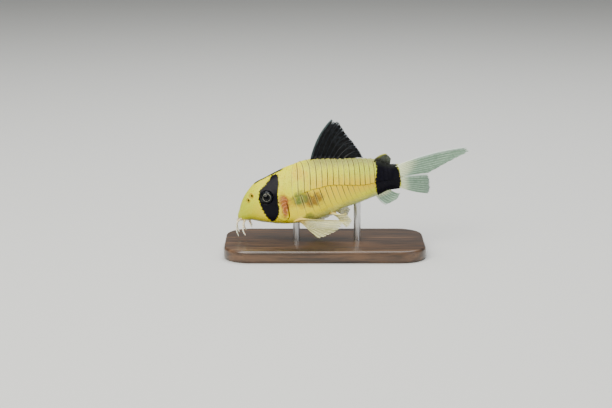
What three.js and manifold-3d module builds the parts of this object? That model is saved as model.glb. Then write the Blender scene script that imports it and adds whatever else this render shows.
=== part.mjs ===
// Panda corydoras, a small armoured catfish, at life size in its foraging pose over a plain display base.
// Millimetres. The fish has its own frame: x runs from the snout to the tail, z is up from the lateral
// line, and its left side faces -y. The whole fish is then tipped nose down over the base.

import * as THREE from "three";
import { mergeVertices } from "three/addons/utils/BufferGeometryUtils.js";
import Module from "manifold-3d";

const wasm = await Module();
wasm.setup();

// Driving sizes

const standardLength = 38; // snout to the root of the tail fin
const noseDown = THREE.MathUtils.degToRad(8);
const gap = 0.3; // between pieces that touch
const tailSwing = 1.3; // how far the tail root stands off the middle plane, to the right
const swingStart = 16;
const headEnd = 11.6; // where the head meets the trunk, on the lateral line
const firstPlate = 13.2;
const plateCount = 21;
const trunkPlates = 9;
const frontPitch = 1.43; // length of the first plate and of the last
const rearPitch = 0.96;
const plateStep = 0.18; // how far the rear edge of a plate stands up
const rowStep = 0.12; // how far the upper row stands over the lower
const webThickness = 0.5;
const rayThickness = 0.8;
const spineThickness = 1.1;
const baseSize = { long: 46, wide: 24, high: 2.8, corner: 6, chamfer: 0.6 };
const rodRadius = 0.8;

// Outlines in the fish's frame, as [distance from the snout, value]

const backLine = [
  [0, -3.85], [0.46, -2.5], [1.32, -0.5], [2.9, 1.67], [5, 3.42], [7.5, 4.47], [10, 5.36],
  [13.5, 6.42], [18.6, 7.2], [22, 6.85], [26.3, 6.2], [32, 5.2], [36.6, 3.25], [38.4, 2.95],
];
const bellyLine = [
  [0, -3.9], [0.42, -4.4], [2.7, -4.85], [6, -5.7], [9.4, -6.5], [14, -6.75], [18.7, -6.6],
  [21.6, -5.75], [24.7, -5], [29.5, -4.1], [32.2, -3.45], [35.5, -2.7], [38.4, -2.65],
];
const halfWidth = [
  [0, 0], [0.46, 1.3], [1.32, 2.1], [2.9, 2.9], [5, 3.5], [7.3, 3.95], [10, 4.5],
  [13, 4.8], [17, 4.6], [21.5, 3.85], [26, 2.9], [31, 2], [35, 1.35], [38.4, 0.85],
];
const widestLevel = [
  [0, -3.88], [1.32, -3], [2.9, -2.4], [7.3, -2.2], [12, -3.8], [17, -3.5], [22, -2.6],
  [27, -1.8], [32, -0.9], [38.4, 0],
];
const upperPinch = [[0, 1], [6, 0.9], [12, 1.1], [20, 1.24], [38.4, 1.1]]; // over 1 narrows the back
const upperRise = [[0, 1], [8, 1], [20, 1.11], [38.4, 1]];
const lowerFullness = [[0, 1], [3, 0.85], [9, 0.66], [22, 0.66], [38.4, 0.9]]; // under 1 flattens the belly
const junctionShare = [[0, 0.5], [14, 0.51], [18.6, 0.55], [21.6, 0.55], [25, 0.5], [31.5, 0.4], [38.4, 0.43]]; // where the rows meet

// A smooth curve through knots that never overshoots them. It works on the square root of the
// distance, which closes the snout round.
function smooth(knots) {
  const r = knots.map((k) => Math.sqrt(k[0]));
  const v = knots.map((k) => k[1]);
  const secant = v.slice(1).map((next, i) => (next - v[i]) / (r[i + 1] - r[i]));
  const slope = v.map((_, i) => {
    const before = secant[i - 1] ?? secant[0];
    const after = secant[i] ?? secant[secant.length - 1];
    return before * after <= 0 ? 0 : (2 * before * after) / (before + after);
  });
  return (s) => {
    const at = Math.sqrt(Math.max(0, s));
    let i = 0;
    while (i < r.length - 2 && at > r[i + 1]) i++;
    const span = r[i + 1] - r[i];
    const t = THREE.MathUtils.clamp((at - r[i]) / span, 0, 1);
    const rise = v[i + 1] - v[i];
    const cubic = span * (slope[i] + slope[i + 1]) - 2 * rise;
    const square = 3 * rise - span * (2 * slope[i] + slope[i + 1]);
    return v[i] + t * (span * slope[i] + t * (square + t * cubic));
  };
}

const back = smooth(backLine);
const belly = smooth(bellyLine);
const width = smooth(halfWidth);
const widest = smooth(widestLevel);
const pinch = smooth(upperPinch);
const rise = smooth(upperRise);
const fullness = smooth(lowerFullness);
const junction = smooth(junctionShare);

const depth = (s) => back(s) - belly(s);
const swing = (s) => tailSwing * (Math.max(0, s - swingStart) / (standardLength - swingStart)) ** 2;
const ease = THREE.MathUtils.smoothstep;
const mix = THREE.MathUtils.lerp;
const degrees = THREE.MathUtils.degToRad;

// The body's surface

// A point of the cross-section at s. The angle is a right angle at the back, 0 at the widest line and
// minus a right angle at the belly.
function sectionPoint(s, angle) {
  const across = Math.max(0, Math.cos(angle));
  const along = Math.abs(Math.sin(angle));
  if (angle >= 0) {
    return [width(s) * across ** pinch(s), widest(s) + (back(s) - widest(s)) * along ** rise(s)];
  }
  const full = fullness(s);
  return [width(s) * across ** full, widest(s) - (widest(s) - belly(s)) * along ** full];
}

// The same point in space, on the left (side -1) or the right (side 1), raised off the surface.
function skinPoint(s, angle, side, raised = 0) {
  const nudge = 0.03;
  const [y, z] = sectionPoint(s, angle);
  const [yUp, zUp] = sectionPoint(s, Math.min(angle + nudge, Math.PI / 2));
  const [yDown, zDown] = sectionPoint(s, Math.max(angle - nudge, -Math.PI / 2));
  const normal = new THREE.Vector2(zUp - zDown, yDown - yUp).normalize();
  const outY = y < 1e-6 ? 0 : Math.max(0, y + normal.x * raised);
  return new THREE.Vector3(s, side * outY + swing(s), z + normal.y * raised);
}

// The angle at which the two rows of plates meet.
function junctionAngle(s) {
  const level = belly(s) + junction(s) * depth(s);
  const share = (level - widest(s)) / (back(s) - widest(s));
  return Math.asin(Math.max(0.02, share) ** (1 / rise(s)));
}

// Columns of the body's mesh, from the back down to the middle of the belly

const upperCount = 6;
const lowerCount = 6;
const bellyCount = 2;
const bellyCorner = degrees(-50);
const columns = [];
for (let i = 0; i <= upperCount; i++) columns.push({ row: "upper", share: i / upperCount });
for (let i = 0; i <= lowerCount; i++) columns.push({ row: "lower", share: i / lowerCount });
for (let i = 1; i <= bellyCount; i++) columns.push({ row: "belly", share: i / bellyCount });

function columnAngle({ row, share }, s) {
  const meet = junctionAngle(s);
  if (row === "upper") return mix(Math.PI / 2, meet, share);
  if (row === "lower") return mix(meet - 0.02, bellyCorner, share);
  return mix(bellyCorner, -Math.PI / 2, share);
}

// How far a seam between plates leads or trails its place on the lateral line.
function plateSeam({ row, share }, s) {
  const size = depth(s) * (1 - ease(s, 33, standardLength));
  const up = 1 - share;
  if (row === "upper") return size * (0.035 * Math.sin(Math.PI * up) - 0.02 * up ** 3);
  return size * (row === "lower" ? 0.19 * share : 0.19 + 0.02 * share);
}

// The same for the seam behind the head, which is the gill opening lower down.
function headSeam({ row, share }) {
  if (row === "upper") return 1.9 * (1 - share) ** 2;
  if (row === "lower") return 0.45 * Math.sin(Math.PI * Math.min(1, share / 0.7)) - 2 * share ** 3;
  return -2 - 0.3 * share;
}

// A closed ring of points round the body at a place on the lateral line. shift moves a column along
// the body, and raised lifts it off the surface.
function bodyRing(at, shift, raised = () => 0) {
  const half = columns.map((column) => {
    const s = at + shift(column);
    return { s, angle: columnAngle(column, s), up: raised(column) };
  });
  const left = half.map((p) => skinPoint(p.s, p.angle, -1, p.up));
  const right = half.slice(1, -1).reverse().map((p) => skinPoint(p.s, p.angle, 1, p.up));
  return [...left, ...right];
}

// Mesh helpers

function meshOf(points, faces) {
  const position = new Float32Array(points.flatMap((p) => [p.x, p.y, p.z]));
  const made = new THREE.BufferGeometry().setAttribute("position", new THREE.BufferAttribute(position, 3));
  const middle = middleOf(points);
  const from = points.map((p) => p.clone().sub(middle));
  let volume = 0;
  for (const [a, b, c] of faces) {
    volume += from[a].dot(new THREE.Vector3().crossVectors(from[b], from[c]));
  }
  made.setIndex(faces.flatMap(([a, b, c]) => (volume < 0 ? [a, c, b] : [a, b, c])));
  return made;
}

function middleOf(points) {
  return points.reduce((sum, p) => sum.add(p), new THREE.Vector3()).divideScalar(points.length);
}

// A closed skin over a row of rings, shut at each end by a fan to a tip, or to the ring's middle.
function loft(rings, startTip = middleOf(rings[0]), endTip = middleOf(rings[rings.length - 1])) {
  const count = rings[0].length;
  const points = [...rings.flat(), startTip, endTip];
  const first = points.length - 2;
  const lastRing = (rings.length - 1) * count;
  const faces = [];
  for (let i = 0; i < count; i++) {
    const next = (i + 1) % count;
    faces.push([first, next, i], [first + 1, lastRing + i, lastRing + next]);
    for (let r = 0; r < rings.length - 1; r++) {
      const a = r * count + i;
      const b = r * count + next;
      faces.push([a, b, b + count], [a, b + count, a + count]);
    }
  }
  return meshOf(points, faces);
}

function solidOf(geometry) {
  const flat = geometry.index ? geometry.toNonIndexed() : geometry;
  const bare = new THREE.BufferGeometry().setAttribute("position", flat.getAttribute("position"));
  const merged = mergeVertices(bare, 1e-4);
  return new wasm.Manifold(
    new wasm.Mesh({
      numProp: 3,
      vertProperties: merged.attributes.position.array,
      triVerts: new Uint32Array(merged.index.array),
    }),
  );
}

function geometryOf(solid) {
  const largest = solid.decompose().reduce((a, b) => (a.volume() > b.volume() ? a : b));
  const mesh = largest.getMesh();
  const position = new Float32Array(mesh.numVert * 3);
  for (let i = 0; i < mesh.numVert; i++) {
    position.set(mesh.vertProperties.subarray(i * mesh.numProp, i * mesh.numProp + 3), i * 3);
  }
  return new THREE.BufferGeometry()
    .setAttribute("position", new THREE.BufferAttribute(position, 3))
    .setIndex(new THREE.BufferAttribute(mesh.triVerts, 1));
}

// A round tube along a smooth path, tapering from one radius to the other. flat squashes or stretches
// it upwards.
function tube({ points, from, to, steps, sides = 7, flat = 1 }) {
  const path = new THREE.CatmullRomCurve3(points.map(([x, y, z]) => new THREE.Vector3(x, y, z)));
  const frames = path.computeFrenetFrames(steps);
  const rings = [];
  for (let i = 0; i <= steps; i++) {
    const radius = mix(from, to, i / steps);
    const ring = [];
    for (let k = 0; k < sides; k++) {
      const turn = (k / sides) * Math.PI * 2;
      const spoke = new THREE.Vector3()
        .addScaledVector(frames.normals[i], radius * Math.cos(turn))
        .addScaledVector(frames.binormals[i], radius * Math.sin(turn));
      spoke.z *= flat;
      ring.push(spoke.add(path.getPointAt(i / steps)));
    }
    rings.push(ring);
  }
  const start = path.getPointAt(0).addScaledVector(frames.tangents[0], -from * 0.6);
  const end = path.getPointAt(1).addScaledVector(frames.tangents[steps], to * 0.6);
  return solidOf(loft(rings, start, end));
}

// Materials

const finish = (color, roughness, metalness = 0) =>
  new THREE.MeshStandardMaterial({ color, roughness, metalness });
const skinFinish = finish(0xd9c25a, 0.35);
const tailFinish = finish(0x9a8a4c, 0.35);
const blackFinFinish = finish(0x23262c, 0.4);
const clearFinFinish = finish(0xb9c9bd, 0.4);
const eyeFinish = finish(0x0b0c10, 0.1);
const barbelFinish = finish(0xd8cfae, 0.4);
const baseFinish = finish(0x3a2c22, 0.5);
const rodFinish = finish(0xb8babd, 0.3, 1);

// The scene: the fish stands tipped in its own group, over the base

const model = new THREE.Group();
const fish = new THREE.Group();
fish.rotation.y = -noseDown;
fish.position.set(-20.5, 0, 12);
model.add(fish);

function addPiece(group, name, geometry, material) {
  const mesh = new THREE.Mesh(geometry, material);
  mesh.name = name;
  group.add(mesh);
}

const sides = [["left", -1], ["right", 1]];

// Head

const headStations = [0.1, 0.3, 0.65, 1.1, 1.7, 2.4, 3.2, 4.1, 5, 5.9, 6.8, 7.7, 8.6, 9.5, 10.4];

// The head's body, raised off the surface all over or sunk into it.
function headBody(raised, stations = headStations) {
  const rings = [...stations, headEnd - gap / 2].map((at) => {
    const lean = ease(at, 2, headEnd);
    return bodyRing(at, (column) => headSeam(column) * lean, () => raised);
  });
  const tip = stations[0] < 1 ? new THREE.Vector3(-Math.max(0, raised), 0, back(0)) : undefined;
  return solidOf(loft(rings, tip));
}

const coreStations = headStations.filter((s) => s > 4.5);
const headSkin = headBody(0);

// Each gill cover is a curved flap behind and below the eye. It lies in a recess of its own shape.
function gillOutline(grow) {
  const shape = new THREE.Shape();
  shape.absellipse(11.6, -2.9, 2.7 + grow, 2.9 + grow, 0, Math.PI * 2);
  return shape;
}

function gillBlock(side, grow) {
  const block = new THREE.ExtrudeGeometry(gillOutline(grow), {
    depth: 8,
    bevelEnabled: false,
    curveSegments: 22,
  });
  block.rotateX(Math.PI / 2);
  block.translate(0, side > 0 ? 8 : 0, 0);
  return solidOf(block);
}

// Eyes: a low dome whose axis follows the skin

const eye = { at: 7.4, angle: degrees(23), radius: 1.65, sink: 0.65, dome: 0.75 };

function eyeBall(side, grow) {
  const middle = skinPoint(eye.at, eye.angle, side, -eye.sink);
  const out = skinPoint(eye.at, eye.angle, side, 1).sub(middle).normalize();
  const ball = new THREE.SphereGeometry(eye.radius + grow, 18, 12);
  ball.scale(1, (eye.radius * eye.dome + grow) / (eye.radius + grow), 1);
  ball.applyQuaternion(new THREE.Quaternion().setFromUnitVectors(new THREE.Vector3(0, 1, 0), out));
  ball.translate(middle.x, middle.y, middle.z);
  return ball;
}

// Mouth: an upper and a lower lip under the snout with a groove between them, open to the rear

function mouthArc(front, rear, half, drop) {
  const bow = [];
  for (const turn of [-90, -45, 0, 45, 90]) {
    const s = rear - (rear - front) * Math.cos(degrees(turn));
    bow.push([s, half * Math.sin(degrees(turn)), belly(s) + drop]);
  }
  return bow;
}

function mouthRoll(points, radius, flat = 1) {
  return tube({ points, from: radius, to: radius, steps: 12, sides: 8, flat });
}

const upperLip = mouthArc(0.55, 2.3, 1.45, 0.08);
const lowerLip = mouthArc(1.45, 2.6, 1, 0.06);
const mouthGroove = mouthRoll(mouthArc(1.02, 2.3, 1.2, -0.05), 0.13, 4);

// Nostrils: two small pits on each side of the snout, as [distance from the snout, level, radius]

const nostrils = [[3.05, 0.1, 0.3], [3.95, 1.05, 0.36]];

function nostril([s, level, radius], side) {
  const angle = Math.asin(((level - widest(s)) / (back(s) - widest(s))) ** (1 / rise(s)));
  const middle = skinPoint(s, angle, side);
  const pit = new THREE.SphereGeometry(radius, 10, 7);
  pit.translate(middle.x, middle.y, middle.z);
  return solidOf(pit);
}

const lips = (grow) => mouthRoll(upperLip, 0.34 + grow).add(mouthRoll(lowerLip, 0.3 + grow));
let head = headSkin.add(lips(0)).subtract(mouthGroove);
for (const [word, side] of sides) {
  for (const place of nostrils) head = head.subtract(nostril(place, side));
  const cover = headBody(0.12, coreStations).intersect(gillBlock(side, 0)).subtract(headBody(-0.75, coreStations));
  const recess = gillBlock(side, gap).subtract(headBody(-0.75 - gap, coreStations));
  head = head.subtract(recess).subtract(solidOf(eyeBall(side, gap)));
  addPiece(fish, `gill_cover_${word}`, geometryOf(cover), skinFinish);
  addPiece(fish, `eye_${word}`, eyeBall(side, 0), eyeFinish);
}
addPiece(fish, "head", geometryOf(head), skinFinish);

// Trunk and tail: two rows of plates on each side, half a plate out of step. Each plate rises to its
// rear edge, which stands over the next one.

let seed = 38;
function draw() {
  seed = (seed * 1664525 + 1013904223) % 4294967296;
  return seed / 4294967296;
}

const plates = [];
let plateStart = firstPlate;
for (let i = 0; i < plateCount; i++) {
  const pitch = mix(frontPitch, rearPitch, i / (plateCount - 1)) * (0.96 + 0.08 * draw());
  plates.push({ start: plateStart, end: plateStart + pitch, step: plateStep * (0.85 + 0.3 * draw()) });
  plateStart += pitch;
}

// A ring on the armour. step is how far the plates stand up there.
function plateRing(at, step) {
  const settled = ease(at, headEnd, 16.5);
  const fading = 1 - ease(at, 35.5, 38);
  const pitch = mix(frontPitch, rearPitch, ease(at, firstPlate, standardLength));
  const shift = (column) => {
    const lag = column.row === "upper" ? 0 : 0.5 * pitch * settled * fading;
    return mix(headSeam(column), plateSeam(column, at), settled) + lag;
  };
  const raised = ({ row, share }) => {
    const armour = ease(at, headEnd, firstPlate + 1) * fading;
    if (row === "upper") return armour * (step * (0.6 + 0.4 * share) + rowStep * share ** 2);
    return row === "lower" ? armour * step * (1 - share ** 3) : 0;
  };
  return bodyRing(at, shift, raised);
}

function armour(first, last, startRings, endRing) {
  const rings = [...startRings];
  for (let i = first; i < last; i++) {
    const { start, end, step } = plates[i];
    const isFirst = i === first && first > 0;
    rings.push(plateRing(isFirst ? start + gap / 2 : start, 0));
    if (i < last - 1) rings.push(plateRing(end - 0.08, step));
    else rings.push(endRing);
  }
  return loft(rings);
}

const trunkEnd = plates[trunkPlates - 1].end;
const tailEnd = standardLength + 0.1;
const trunkStart = [plateRing(headEnd + gap / 2, 0), plateRing(mix(headEnd, firstPlate, 0.6), 0)];
addPiece(fish, "trunk", armour(0, trunkPlates, trunkStart, plateRing(trunkEnd - gap / 2, plateStep)), skinFinish);
addPiece(fish, "tail_stem", armour(trunkPlates, plateCount, [], plateRing(tailEnd, plateStep)), tailFinish);

// Fins

// A point of a smooth curve through points that stand evenly along it, for u from 0 to 1.
function along(points, u) {
  const place = THREE.MathUtils.clamp(u, 0, 1) * (points.length - 1);
  const i = Math.min(Math.floor(place), points.length - 2);
  const a = points[i];
  const b = points[i + 1];
  const before = points[i - 1] ?? a.clone().multiplyScalar(2).sub(b);
  const after = points[i + 2] ?? b.clone().multiplyScalar(2).sub(a);
  const t = place - i;
  const blend = (axis) => {
    const slopeA = (b[axis] - before[axis]) / 2;
    const slopeB = (after[axis] - a[axis]) / 2;
    const square = 3 * (b[axis] - a[axis]) - 2 * slopeA - slopeB;
    const cubic = 2 * (a[axis] - b[axis]) + slopeA + slopeB;
    return a[axis] + t * (slopeA + t * (square + t * cubic));
  };
  return new THREE.Vector3(blend("x"), blend("y"), blend("z"));
}

// A fin is a web between rays. Its guides are a few of its rays, each a root, a middle and a tip. Rays
// are ridges in the web's own surface, on both faces, and the first may be a stout spine.
function fin({ guides, rays, spine = rayThickness, ray = rayThickness, rows = 5, notch = 0.05 }) {
  const place = (u, t) => {
    const [root, middle, tip] = [0, 1, 2].map((k) => along(guides.map((g) => g[k]), u));
    return new THREE.Vector3()
      .addScaledVector(root, (1 - t) * (1 - 2 * t))
      .addScaledVector(middle, 4 * t * (1 - t))
      .addScaledVector(tip, t * (2 * t - 1));
  };
  const acrossList = [];
  for (let i = 0; i < rays; i++) {
    acrossList.push({ u: i / (rays - 1), onRay: true, first: i === 0 });
    if (i < rays - 1) {
      acrossList.push({ u: (i + 0.28) / (rays - 1) }, { u: (i + 0.72) / (rays - 1) });
    }
  }
  const near = [];
  const far = [];
  for (let row = 0; row < rows; row++) {
    for (const { u, onRay, first } of acrossList) {
      const reach = onRay ? 1 : 1 - notch;
      const t = (row / (rows - 1)) * reach;
      const thick = onRay ? (first ? spine : ray) : webThickness;
      const taper = row === rows - 1 ? 0.4 : 1 - 0.45 * t * (onRay ? 1 : 0);
      const du = place(Math.min(1, u + 0.02), t).sub(place(Math.max(0, u - 0.02), t));
      const dt = place(u, Math.min(1, t + 0.02)).sub(place(u, Math.max(0, t - 0.02)));
      const normal = new THREE.Vector3().crossVectors(du, dt).normalize();
      const point = place(u, t);
      near.push(point.clone().addScaledVector(normal, (thick * taper) / 2));
      far.push(point.clone().addScaledVector(normal, (-thick * taper) / 2));
    }
  }
  const across = acrossList.length;
  const total = near.length;
  const faces = [];
  const quad = (a, b, c, d) => faces.push([a, b, c], [a, c, d]);
  for (let row = 0; row < rows - 1; row++) {
    for (let i = 0; i < across - 1; i++) {
      const a = row * across + i;
      quad(a, a + 1, a + 1 + across, a + across);
      quad(a + across + total, a + 1 + across + total, a + 1 + total, a + total);
    }
    const edge = row * across;
    const rear = edge + across - 1;
    quad(edge + across, edge + across + total, edge + total, edge);
    quad(rear, rear + total, rear + across + total, rear + across);
  }
  const lastRow = (rows - 1) * across;
  for (let i = 0; i < across - 1; i++) {
    quad(i + 1, i, i + total, i + 1 + total);
    quad(lastRow + i, lastRow + i + 1, lastRow + i + 1 + total, lastRow + i + total);
  }
  return meshOf([...near, ...far], faces);
}

const at = (x, y, z) => new THREE.Vector3(x, y + swing(x), z);
const onBack = (s) => at(s, 0, back(s) + gap + 0.12);
const onBelly = (s) => at(s, 0, belly(s) - gap - 0.05);

addPiece(fish, "dorsal_fin", fin({
  rays: 9,
  spine: spineThickness,
  guides: [
    [onBack(18.4), at(20.9, 0, 11.85), at(24.2, 0, 15.6)],
    [onBack(20.5), at(22.9, 0, 11.15), at(26.1, 0, 14.2)],
    [onBack(22.6), at(24.8, 0, 9.8), at(27.5, 0, 11.5)],
    [onBack(24.5), at(26.8, 0, 8.2), at(29.25, 0, 8.6)],
    [onBack(26.2), at(28.3, 0, 6.45), at(30.3, 0, 6)],
  ],
}), blackFinFinish);

addPiece(fish, "adipose_fin", fin({
  rays: 4,
  spine: spineThickness,
  ray: webThickness,
  rows: 4,
  notch: 0,
  guides: [
    [onBack(32.9), at(34.35, 0, 5.7), at(35.75, 0, 5.8)],
    [onBack(34.6), at(35.4, 0, 5.2), at(36.3, 0, 5.15)],
    [onBack(36.2), at(36.5, 0, 4.4), at(36.75, 0, 4.4)],
  ],
}), clearFinFinish);

addPiece(fish, "anal_fin", fin({
  rays: 7,
  guides: [
    [onBelly(32.1), at(33.1, 0, -5), at(34.3, 0, -6)],
    [onBelly(33.8), at(35.2, 0, -4.4), at(36.7, 0, -5.1)],
    [onBelly(35.4), at(36.6, 0, -3.5), at(37.8, 0, -3.9)],
  ],
}), clearFinFinish);

const caudalRoot = tailEnd + gap;
addPiece(fish, "caudal_fin_upper", fin({
  rays: 7,
  rows: 6,
  guides: [
    [at(caudalRoot, 0, 2.75), at(46.4, 0, 4.15), at(54.7, 0, 4.1)],
    [at(caudalRoot, 0, 1.95), at(46.2, 0, 2.75), at(54.2, 0, 2.95)],
    [at(caudalRoot, 0, 1.1), at(44.4, 0, 1.25), at(50.2, 0, 1.7)],
    [at(caudalRoot, 0, 0.25), at(41.8, 0, 0.1), at(45.2, 0, -0.1)],
  ],
}), clearFinFinish);

addPiece(fish, "caudal_fin_lower", fin({
  rays: 7,
  rows: 6,
  guides: [
    [at(caudalRoot, 0, -0.15), at(41.6, 0.1, -0.35), at(44.8, 0.5, -0.9)],
    [at(caudalRoot, 0, -1.05), at(41.7, 0.7, -1.75), at(44.9, 2, -2.6)],
    [at(caudalRoot, 0, -1.85), at(41.7, 1, -3.1), at(44.9, 3.1, -4.4)],
    [at(caudalRoot, 0, -2.6), at(41.3, 1, -4.3), at(44.6, 3.2, -5.7)],
  ],
}), clearFinFinish);

for (const [word, side] of sides) {
  const out = (x, y, z) => new THREE.Vector3(x, side * y, z);
  const root = (s, angle) => skinPoint(s, degrees(angle), side, gap + 0.18);
  addPiece(fish, `pectoral_fin_${word}`, fin({
    rays: 9,
    spine: spineThickness,
    guides: [
      [root(13.3, -22), out(19.2, 7.7, -5.6), out(24.7, 8.7, -6.3)],
      [root(13.6, -30), out(18.4, 7.7, -6.5), out(23.6, 9.2, -7.3)],
      [root(13.9, -38), out(17.4, 7.1, -7.3), out(21.2, 9, -8.6)],
      [root(14.2, -46), out(16.1, 6.2, -8), out(18, 8.2, -9.6)],
    ],
  }), clearFinFinish);
  addPiece(fish, `pelvic_fin_${word}`, fin({
    rays: 7,
    guides: [
      [root(21, -48), out(23.1, 4.4, -5.6), out(25, 5.4, -5.4)],
      [root(21.6, -57), out(23.6, 4.4, -6.7), out(25.9, 5.9, -7.1)],
      [root(22.2, -66), out(23.4, 4.1, -7.3), out(24.7, 5.8, -8.6)],
    ],
  }), clearFinFinish);
}

// Barbels: soft feelers that hang from the corners of the mouth and from the chin

const barbels = {
  upper: { points: [[1.3, 0.9, -4.1], [-0.1, 1.8, -4.6], [-0.6, 2.1, -6.4], [-0.35, 2.1, -8.05]], tip: 0.14 },
  lower: { points: [[1.7, 1.1, -4.3], [1.1, 2.2, -5.4], [0.9, 2.7, -6.7], [1.3, 2.9, -7.9]], tip: 0.14 },
  chin: { points: [[2.6, 0.5, -4.4], [2.6, 0.8, -5.5], [2.9, 0.95, -6.6]], tip: 0.17 },
};
const clearOfHead = headBody(gap).add(lips(gap));
for (const [place, { points, tip }] of Object.entries(barbels)) {
  for (const [word, side] of sides) {
    const feeler = tube({ points: points.map(([x, y, z]) => [x, side * y, z]), from: 0.31, to: tip, steps: 7 });
    addPiece(fish, `barbel_${place}_${word}`, geometryOf(feeler.subtract(clearOfHead)), barbelFinish);
  }
}

// Display base: a flat plate and two rods that stop just under the belly

const { long, wide, high, corner, chamfer } = baseSize;
const plate = new THREE.Shape();
const halfLong = long / 2 - chamfer;
const halfWide = wide / 2 - chamfer;
const round = corner - chamfer;
plate.moveTo(-halfLong + round, -halfWide);
plate.absarc(halfLong - round, -halfWide + round, round, -Math.PI / 2, 0);
plate.absarc(halfLong - round, halfWide - round, round, 0, Math.PI / 2);
plate.absarc(-halfLong + round, halfWide - round, round, Math.PI / 2, Math.PI);
plate.absarc(-halfLong + round, -halfWide + round, round, Math.PI, Math.PI * 1.5);
const baseGeometry = new THREE.ExtrudeGeometry(plate, {
  depth: high - 2 * chamfer,
  bevelThickness: chamfer,
  bevelSize: chamfer,
  bevelSegments: 1,
  curveSegments: 6,
});
baseGeometry.translate(0, 0, chamfer);
addPiece(model, "stand_base", baseGeometry, baseFinish);

// The height of the belly over the base, at x in the scene.
function bellyHeight(x) {
  let s = x - fish.position.x;
  for (let i = 0; i < 6; i++) {
    s = (x - fish.position.x + belly(s) * Math.sin(noseDown)) / Math.cos(noseDown);
  }
  return fish.position.z + s * Math.sin(noseDown) + belly(s) * Math.cos(noseDown);
}

function rod(x) {
  const rings = [high + gap, 99].map((height) => {
    const ring = [];
    for (let k = 0; k < 14; k++) {
      const turn = (k / 14) * Math.PI * 2;
      const px = x + rodRadius * Math.cos(turn);
      const top = Math.min(height, bellyHeight(px) - gap - 0.05);
      ring.push(new THREE.Vector3(px, rodRadius * Math.sin(turn), top));
    }
    return ring;
  });
  return loft(rings);
}

addPiece(model, "stand_rod_front", rod(-6.5), rodFinish);
addPiece(model, "stand_rod_rear", rod(7.5), rodFinish);

export default model;
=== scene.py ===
import bpy
import numpy as np
from math import cos, pi, radians, sin
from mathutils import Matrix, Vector


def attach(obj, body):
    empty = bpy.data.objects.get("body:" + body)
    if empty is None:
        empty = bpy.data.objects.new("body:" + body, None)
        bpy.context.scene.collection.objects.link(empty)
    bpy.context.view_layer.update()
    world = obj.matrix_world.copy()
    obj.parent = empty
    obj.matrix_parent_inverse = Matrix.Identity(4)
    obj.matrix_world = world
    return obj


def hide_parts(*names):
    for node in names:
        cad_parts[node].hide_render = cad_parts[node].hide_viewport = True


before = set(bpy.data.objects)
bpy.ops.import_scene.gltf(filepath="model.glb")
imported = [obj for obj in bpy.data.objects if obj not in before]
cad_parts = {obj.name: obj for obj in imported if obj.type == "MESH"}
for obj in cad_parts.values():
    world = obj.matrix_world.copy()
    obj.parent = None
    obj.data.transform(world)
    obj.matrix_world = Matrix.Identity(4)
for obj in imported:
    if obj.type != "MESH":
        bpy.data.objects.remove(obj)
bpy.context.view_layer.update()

from types import SimpleNamespace

# The fish has its own frame in millimetres: x from snout to tail, z up from the lateral line, left side -y.
pose = {
    "noseDown": radians(8),
    "shift": (-20.5, 0.0, 12.0),
    "tailSwing": 1.3,
    "swingStart": 16.0,
    "length": 38.0,
}
sides = {"left": -1, "right": 1}


def toScene(points):  # fish millimetres to scene metres
    x, y, z = np.moveaxis(np.asarray(points, float), -1, 0)
    c, s = cos(pose["noseDown"]), sin(pose["noseDown"])
    dx, dy, dz = pose["shift"]
    return np.stack((x * c - z * s + dx, y + dy, x * s + z * c + dz), -1) / 1000


def swing(s):  # the tail stands off to the fish's right
    share = np.maximum(0, s - pose["swingStart"]) / (pose["length"] - pose["swingStart"])
    return pose["tailSwing"] * share ** 2


def ease(x, low, high):
    t = np.clip((np.asarray(x, float) - low) / (high - low), 0, 1)
    return t * t * (3 - 2 * t)


def bell(x, middle, spread):
    return np.exp(-((np.asarray(x, float) - middle) / spread) ** 2)


def unit(v, nudge=0.0):  # of length one; a nudge keeps clear of dividing by nothing
    return v / (np.linalg.norm(v, axis=-1, keepdims=True) + nudge)


def smoothCurve(knots):  # never overshoots its knots, and rounds off at the snout
    root = np.sqrt([k[0] for k in knots])
    value = np.array([k[1] for k in knots], float)
    secant = np.diff(value) / np.diff(root)
    before = np.concatenate([secant[:1], secant])
    after = np.concatenate([secant, secant[-1:]])
    same = before * after > 0
    slope = np.where(same, 2 * before * after / np.where(same, before + after, 1), 0)

    def curve(s):
        place = np.sqrt(np.maximum(0, s))
        i = np.clip(np.searchsorted(root, place, side="left") - 1, 0, len(root) - 2)
        span = root[i + 1] - root[i]
        t = np.clip((place - root[i]) / span, 0, 1)
        rise = value[i + 1] - value[i]
        cubic = span * (slope[i] + slope[i + 1]) - 2 * rise
        square = 3 * rise - span * (2 * slope[i] + slope[i + 1])
        return value[i] + t * (span * slope[i] + t * (square + t * cubic))

    return curve


def throughPoints(points, u):  # a smooth curve through evenly spaced points, u from 0 to 1
    points = np.asarray(points, float)
    ends = np.vstack([2 * points[0] - points[1], points, 2 * points[-1] - points[-2]])
    place = np.asarray(u, float) * (len(points) - 1)
    i = np.clip(np.floor(place).astype(int), 0, len(points) - 2)
    t = (place - i)[..., None]
    before, a, b, after = (ends[i + k] for k in range(4))
    slopeA, slopeB = (b - before) / 2, (after - a) / 2
    return a + t * (slopeA + t * (3 * (b - a) - 2 * slopeA - slopeB + t * (2 * (a - b) + slopeA + slopeB)))


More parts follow.
